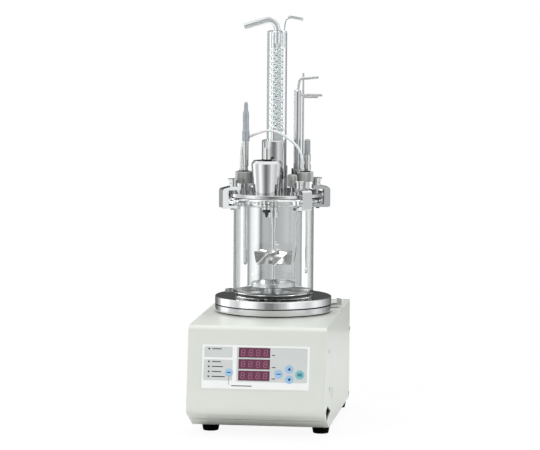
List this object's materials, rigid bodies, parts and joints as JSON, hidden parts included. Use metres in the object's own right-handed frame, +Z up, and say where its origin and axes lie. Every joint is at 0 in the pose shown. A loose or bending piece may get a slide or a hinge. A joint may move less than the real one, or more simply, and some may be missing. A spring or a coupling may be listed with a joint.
{
  "type": "bench bioreactor",
  "caption": "Bench bioreactor: a box-shaped drive and control unit carries a lidded glass jar with a stirrer, probes, ports, tubes and a tall coil condenser.",
  "frame": {"origin": "centre of the footprint at the bottom of the feet", "axes": "+Z up; the sloping operating panel faces -Y; +X to the right of someone facing the panel"},
  "size_m": [0.1904, 0.3341, 0.564],
  "materials": {
    "centre_bell": "polished",
    "chassis": "satin",
    "clamp_pad_1": "satin",
    "clamp_pad_2": "satin",
    "clamp_pad_3": "satin",
    "clamp_pad_4": "satin",
    "clamp_rests": "matt",
    "clamp_screw_1": "polished",
    "clamp_screw_2": "polished",
    "clamp_screw_3": "polished",
    "clamp_screw_4": "polished",
    "condenser_coil": "clear",
    "condenser_jacket": "clear",
    "control_board": "satin",
    "cover_screws": "polished",
    "cup_knob": "polished",
    "cup_plug": "matt",
    "cup_washer": "matt",
    "display_board": "gloss",
    "display_windows": "gloss",
    "drive_magnet": "satin",
    "drive_motor": "satin",
    "electrode_head": "satin",
    "front_cover": "satin",
    "gas_tube": "polished",
    "gas_tube_nut": "polished",
    "heating_plate": "turned",
    "hose_barbs": "satin",
    "impeller": "satin",
    "inoculation_cup": "polished",
    "key_down": "satin",
    "key_mode": "satin",
    "key_set": "satin",
    "key_start": "satin",
    "key_up": "satin",
    "latch_left": "polished",
    "latch_right": "polished",
    "left_port_cap": "knurled",
    "lid_clamps": "satin",
    "lid_plate": "polished",
    "lower_disc": "turned",
    "motor_bracket": "satin",
    "panel_overlay": "satin",
    "ph_electrode": "polished",
    "port_seals": "matt",
    "power_inlet": "satin",
    "power_switch": "gloss",
    "probe_boot": "matt",
    "rear_panel": "satin",
    "right_port_cap": "knurled",
    "rubber_feet": "matt",
    "sampling_tube": "polished",
    "silicone_hose": "translucent",
    "small_port_cap": "knurled",
    "stirrer_bearing": "satin",
    "stirrer_magnet": "satin",
    "stirrer_shaft": "polished",
    "temperature_probe": "polished",
    "vessel": "clear",
    "vessel_gasket": "matt"
  },
  "bodies": {
    "case": {"centre_bell": "centre_bell", "chassis": "chassis", "clamp_rests": "clamp_rests", "condenser_coil": "condenser_coil", "condenser_jacket": "condenser_jacket", "control_board": "control_board", "cover_screws": "cover_screws", "cup_plug": "cup_plug", "cup_washer": "cup_washer", "display_board": "display_board", "display_windows": "display_windows", "drive_motor": "drive_motor", "electrode_head": "electrode_head", "front_cover": "front_cover", "gas_tube": "gas_tube", "heating_plate": "heating_plate", "hose_barbs": "hose_barbs", "inoculation_cup": "inoculation_cup", "lid_clamps": "lid_clamps", "lid_plate": "lid_plate", "lower_disc": "lower_disc", "motor_bracket": "motor_bracket", "panel_overlay": "panel_overlay", "ph_electrode": "ph_electrode", "port_seals": "port_seals", "power_inlet": "power_inlet", "probe_boot": "probe_boot", "rear_panel": "rear_panel", "rubber_feet": "rubber_feet", "sampling_tube": "sampling_tube", "silicone_hose": "silicone_hose", "stirrer_bearing": "stirrer_bearing", "temperature_probe": "temperature_probe", "vessel": "vessel", "vessel_gasket": "vessel_gasket"},
    "drive": {"drive_magnet": "drive_magnet"},
    "stirrer": {"stirrer_shaft": "stirrer_shaft", "stirrer_magnet": "stirrer_magnet", "impeller": "impeller"},
    "rocker": {"power_switch": "power_switch"},
    "mode_key": {"key_mode": "key_mode"},
    "set_key": {"key_set": "key_set"},
    "up_key": {"key_up": "key_up"},
    "down_key": {"key_down": "key_down"},
    "start_key": {"key_start": "key_start"},
    "left_cap": {"left_port_cap": "left_port_cap"},
    "right_cap": {"right_port_cap": "right_port_cap"},
    "small_cap": {"small_port_cap": "small_port_cap"},
    "tube_nut": {"gas_tube_nut": "gas_tube_nut"},
    "cup_screw": {"cup_knob": "cup_knob"},
    "left_latch": {"latch_left": "latch_left"},
    "right_latch": {"latch_right": "latch_right"},
    "pad_1": {"clamp_pad_1": "clamp_pad_1"},
    "screw_1": {"clamp_screw_1": "clamp_screw_1"},
    "pad_2": {"clamp_pad_2": "clamp_pad_2"},
    "screw_2": {"clamp_screw_2": "clamp_screw_2"},
    "pad_3": {"clamp_pad_3": "clamp_pad_3"},
    "screw_3": {"clamp_screw_3": "clamp_screw_3"},
    "pad_4": {"clamp_pad_4": "clamp_pad_4"},
    "screw_4": {"clamp_screw_4": "clamp_screw_4"}
  },
  "joints": [
    {"name": "drive_spin", "type": "hinge", "parent": "case", "child": "drive", "pos_m": [0, 0.021, 0.16], "axis": [0, 0, 1], "continuous": true},
    {"name": "stirrer_spin", "type": "hinge", "parent": "case", "child": "stirrer", "pos_m": [0, 0.021, 0.23], "axis": [0, 0, 1], "continuous": true},
    {"name": "power_rocker", "type": "hinge", "parent": "case", "child": "rocker", "pos_m": [-0.019, 0.162, 0.039], "axis": [1, 0, 0], "range_deg": [-14, 0]},
    {"name": "mode_press", "type": "slide", "parent": "case", "child": "mode_key", "axis": [0, 0.9831, -0.1831], "range_m": [0, 0.0005], "stiffness_N_per_m": 400, "springref_m": -0.001},
    {"name": "set_press", "type": "slide", "parent": "case", "child": "set_key", "axis": [0, 0.9831, -0.1831], "range_m": [0, 0.0005], "stiffness_N_per_m": 400, "springref_m": -0.001},
    {"name": "up_press", "type": "slide", "parent": "case", "child": "up_key", "axis": [0, 0.9831, -0.1831], "range_m": [0, 0.0005], "stiffness_N_per_m": 400, "springref_m": -0.001},
    {"name": "down_press", "type": "slide", "parent": "case", "child": "down_key", "axis": [0, 0.9831, -0.1831], "range_m": [0, 0.0005], "stiffness_N_per_m": 400, "springref_m": -0.001},
    {"name": "start_press", "type": "slide", "parent": "case", "child": "start_key", "axis": [0, 0.9831, -0.1831], "range_m": [0, 0.0005], "stiffness_N_per_m": 400, "springref_m": -0.001},
    {"name": "pad_1_lift", "type": "slide", "parent": "case", "child": "pad_1", "axis": [0, 0, 1], "range_m": [0, 0.002]},
    {"name": "screw_1_turn", "type": "hinge", "parent": "pad_1", "child": "screw_1", "pos_m": [0.04092, -0.02288, 0.33], "axis": [0, 0, 1], "range_deg": [0, 720]},
    {"name": "pad_2_lift", "type": "slide", "parent": "case", "child": "pad_2", "axis": [0, 0, 1], "range_m": [0, 0.002]},
    {"name": "screw_2_turn", "type": "hinge", "parent": "pad_2", "child": "screw_2", "pos_m": [0.05796, 0.03653, 0.33], "axis": [0, 0, 1], "range_deg": [0, 720]},
    {"name": "pad_3_lift", "type": "slide", "parent": "case", "child": "pad_3", "axis": [0, 0, 1], "range_m": [0, 0.002]},
    {"name": "screw_3_turn", "type": "hinge", "parent": "pad_3", "child": "screw_3", "pos_m": [-0.05298, -0.00717, 0.33], "axis": [0, 0, 1], "range_deg": [0, 720]},
    {"name": "pad_4_lift", "type": "slide", "parent": "case", "child": "pad_4", "axis": [0, 0, 1], "range_m": [0, 0.002]},
    {"name": "screw_4_turn", "type": "hinge", "parent": "pad_4", "child": "screw_4", "pos_m": [-0.04092, 0.06488, 0.33], "axis": [0, 0, 1], "range_deg": [0, 720]},
    {"name": "left_cap_turn", "type": "hinge", "parent": "case", "child": "left_cap", "pos_m": [-0.0415, 0.013, 0.34], "axis": [0, 0, 1], "range_deg": [0, 90]},
    {"name": "right_cap_turn", "type": "hinge", "parent": "case", "child": "right_cap", "pos_m": [0.0448, 0.009, 0.34], "axis": [0, 0, 1], "range_deg": [0, 90]},
    {"name": "small_cap_turn", "type": "hinge", "parent": "case", "child": "small_cap", "pos_m": [0.0295, -0.009, 0.34], "axis": [0, 0, 1], "range_deg": [0, 90]},
    {"name": "tube_nut_turn", "type": "hinge", "parent": "case", "child": "tube_nut", "pos_m": [0.0304, 0.039, 0.343], "axis": [0, 0, 1], "range_deg": [0, 60]},
    {"name": "cup_screw_turn", "type": "hinge", "parent": "case", "child": "cup_screw", "pos_m": [-0.0049, -0.0188, 0.37], "axis": [0, 0, 1], "range_deg": [0, 90]},
    {"name": "right_latch_swing", "type": "hinge", "parent": "case", "child": "right_latch", "pos_m": [0.07086, 0.07061, 0.154], "axis": [-0.5736, 0.8192, 0], "range_deg": [-90, 0]},
    {"name": "left_latch_swing", "type": "hinge", "parent": "case", "child": "left_latch", "pos_m": [-0.07086, 0.07061, 0.154], "axis": [-0.5736, -0.8192, 0], "range_deg": [0, 90]}
  ],
  "couplings": [
    {"joint": "stirrer_spin", "follows": "drive_spin", "ratio": 1},
    {"joint": "screw_1_turn", "follows": "pad_1_lift", "rad_per_m": 6283},
    {"joint": "screw_2_turn", "follows": "pad_2_lift", "rad_per_m": 6283},
    {"joint": "screw_3_turn", "follows": "pad_3_lift", "rad_per_m": 6283},
    {"joint": "screw_4_turn", "follows": "pad_4_lift", "rad_per_m": 6283}
  ]
}
